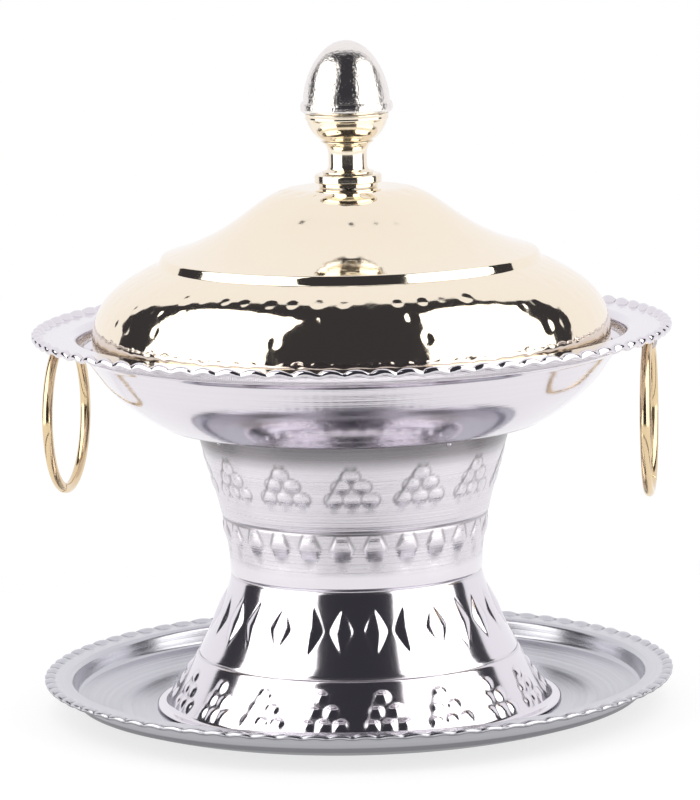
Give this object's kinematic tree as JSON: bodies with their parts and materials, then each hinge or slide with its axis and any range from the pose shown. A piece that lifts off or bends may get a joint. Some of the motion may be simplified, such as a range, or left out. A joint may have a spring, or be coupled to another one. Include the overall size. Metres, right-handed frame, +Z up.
{
  "type": "lidded date bowl",
  "caption": "Spun steel date bowl with a crimped rim and drop rings, on an embossed flaring foot and a crimped tray, under a domed brass lid with an egg-shaped knob.",
  "frame": {"origin": "centre of the tray's flat underside", "axes": "+Z up along the bowl's axis, -Y the front that the picture shows, +X to the picture's right"},
  "size_m": [0.26, 0.26, 0.2724],
  "materials": {
    "satin_steel": "satin to mirror stainless steel, softly polished",
    "polished_steel": "mirror-polished stainless steel, satin above the waist",
    "lid_brass": "pale champagne-gold mirror with shallow hammered dimples",
    "knob_brass": "pale gold mirror polish",
    "ring_brass": "polished drawn brass wire",
    "screw_steel": "plain plated steel"
  },
  "bodies": {
    "tray": {"tray": "satin_steel"},
    "stand": {"foot": "polished_steel", "bowl": "satin_steel", "solder_bead_1": "satin_steel", "solder_bead_2": "satin_steel", "solder_bead_3": "satin_steel", "solder_bead_4": "satin_steel", "left_lug": "polished_steel", "right_lug": "polished_steel"},
    "lid": {"lid_shell": "lid_brass", "screw_washer": "screw_steel", "knob_screw": "screw_steel", "knob_collar": "knob_brass", "knob_stem": "knob_brass", "knob_cup": "knob_brass", "knob_cap": "knob_brass"},
    "left_ring": {"left_ring": "ring_brass"},
    "right_ring": {"right_ring": "ring_brass"}
  },
  "joints": [
    {"name": "stand_lift", "type": "slide", "parent": "tray", "child": "stand", "axis": [0, 0, 1], "range_m": [0, 0.06]},
    {"name": "lid_lift", "type": "slide", "parent": "stand", "child": "lid", "axis": [0, 0, 1], "range_m": [0, 0.08]},
    {"name": "left_ring_swing", "type": "hinge", "parent": "stand", "child": "left_ring", "pos_m": [-0.11804, 0.02423, 0.15], "axis": [0.2011, 0.9796, 0], "range_deg": [-45, 75]},
    {"name": "right_ring_swing", "type": "hinge", "parent": "stand", "child": "right_ring", "pos_m": [0.11968, -0.01406, 0.15], "axis": [-0.1167, -0.9932, 0], "range_deg": [-45, 75]}
  ]
}
